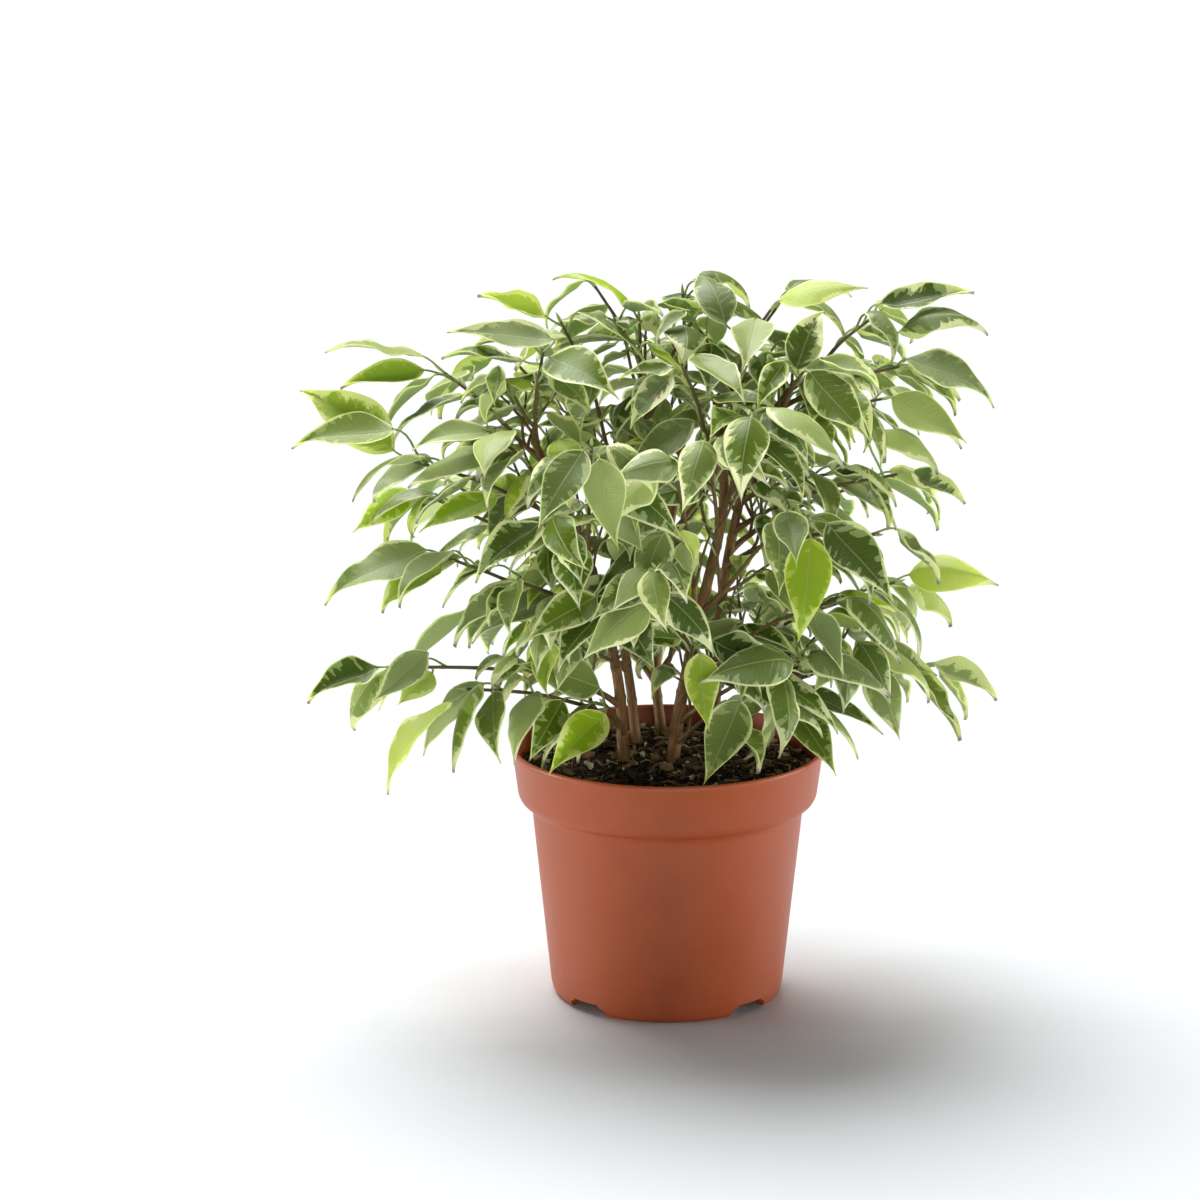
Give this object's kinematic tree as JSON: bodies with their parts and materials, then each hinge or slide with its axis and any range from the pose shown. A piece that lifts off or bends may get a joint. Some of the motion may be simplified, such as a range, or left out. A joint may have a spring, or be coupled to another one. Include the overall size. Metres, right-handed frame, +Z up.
{
  "type": "potted weeping fig",
  "caption": "Bushy variegated weeping fig with leafy sprays on rooted woody stems, standing in a tapered round nursery pot filled with soil.",
  "frame": {"origin": "centre of the flat disc under the pot, at the height of the surface that the pot stands on", "axes": "+Z up along the pot's axis, +Y away from the viewer of the picture, +X to the viewer's right"},
  "size_m": [0.2685, 0.2348, 0.279],
  "materials": {
    "pot_plastic": "semi-matt moulded terracotta-coloured plastic",
    "potting_soil": "matt moist peat and bark",
    "bark": "matt brown bark",
    "foliage": "satin leaves, green with cream margins"
  },
  "bodies": {
    "root": {"pot": "pot_plastic", "soil": "potting_soil", "spray_centre_high": "foliage", "spray_crown_far_left": "foliage", "spray_crown_left": "foliage", "spray_crown_middle": "foliage", "spray_crown_right": "foliage", "spray_far_left": "foliage", "spray_far_right": "foliage", "spray_far_upper_right": "foliage", "spray_front_centre": "foliage", "spray_front_high": "foliage", "spray_front_high_right": "foliage", "spray_front_left_low": "foliage", "spray_front_left_mid": "foliage", "spray_front_left_upper": "foliage", "spray_front_low": "foliage", "spray_front_mid_left": "foliage", "spray_front_over_soil": "foliage", "spray_front_right": "foliage", "spray_front_right_low": "foliage", "spray_front_right_mid": "foliage", "spray_front_right_upper": "foliage", "spray_left_front": "foliage", "spray_left_inner": "foliage", "spray_left_inner_high": "foliage", "spray_left_pale": "foliage", "spray_low_left_hanging": "foliage", "spray_low_left_long": "foliage", "spray_low_right_hanging": "foliage", "spray_low_right_long": "foliage", "spray_mid_left": "foliage", "spray_rear_crown": "foliage", "spray_rear_crown_left": "foliage", "spray_rear_crown_right": "foliage", "spray_rear_far": "foliage", "spray_rear_high_left": "foliage", "spray_rear_high_right": "foliage", "spray_rear_left_high": "foliage", "spray_rear_left_low": "foliage", "spray_rear_left_mid": "foliage", "spray_rear_low_left": "foliage", "spray_rear_low_right": "foliage", "spray_rear_right_high": "foliage", "spray_rear_right_low": "foliage", "spray_rear_right_mid": "foliage", "spray_right_front_mid": "foliage", "spray_right_inner": "foliage", "spray_right_mid": "foliage", "spray_right_mid_upper": "foliage", "spray_right_over_rim": "foliage", "spray_right_upper": "foliage", "spray_top_left": "foliage", "spray_upper_left": "foliage", "stem_left": "bark", "stem_low_right": "bark", "stem_middle": "bark", "stem_rear": "bark", "stem_rear_left": "bark", "stem_right": "bark"}
  },
  "joints": []
}
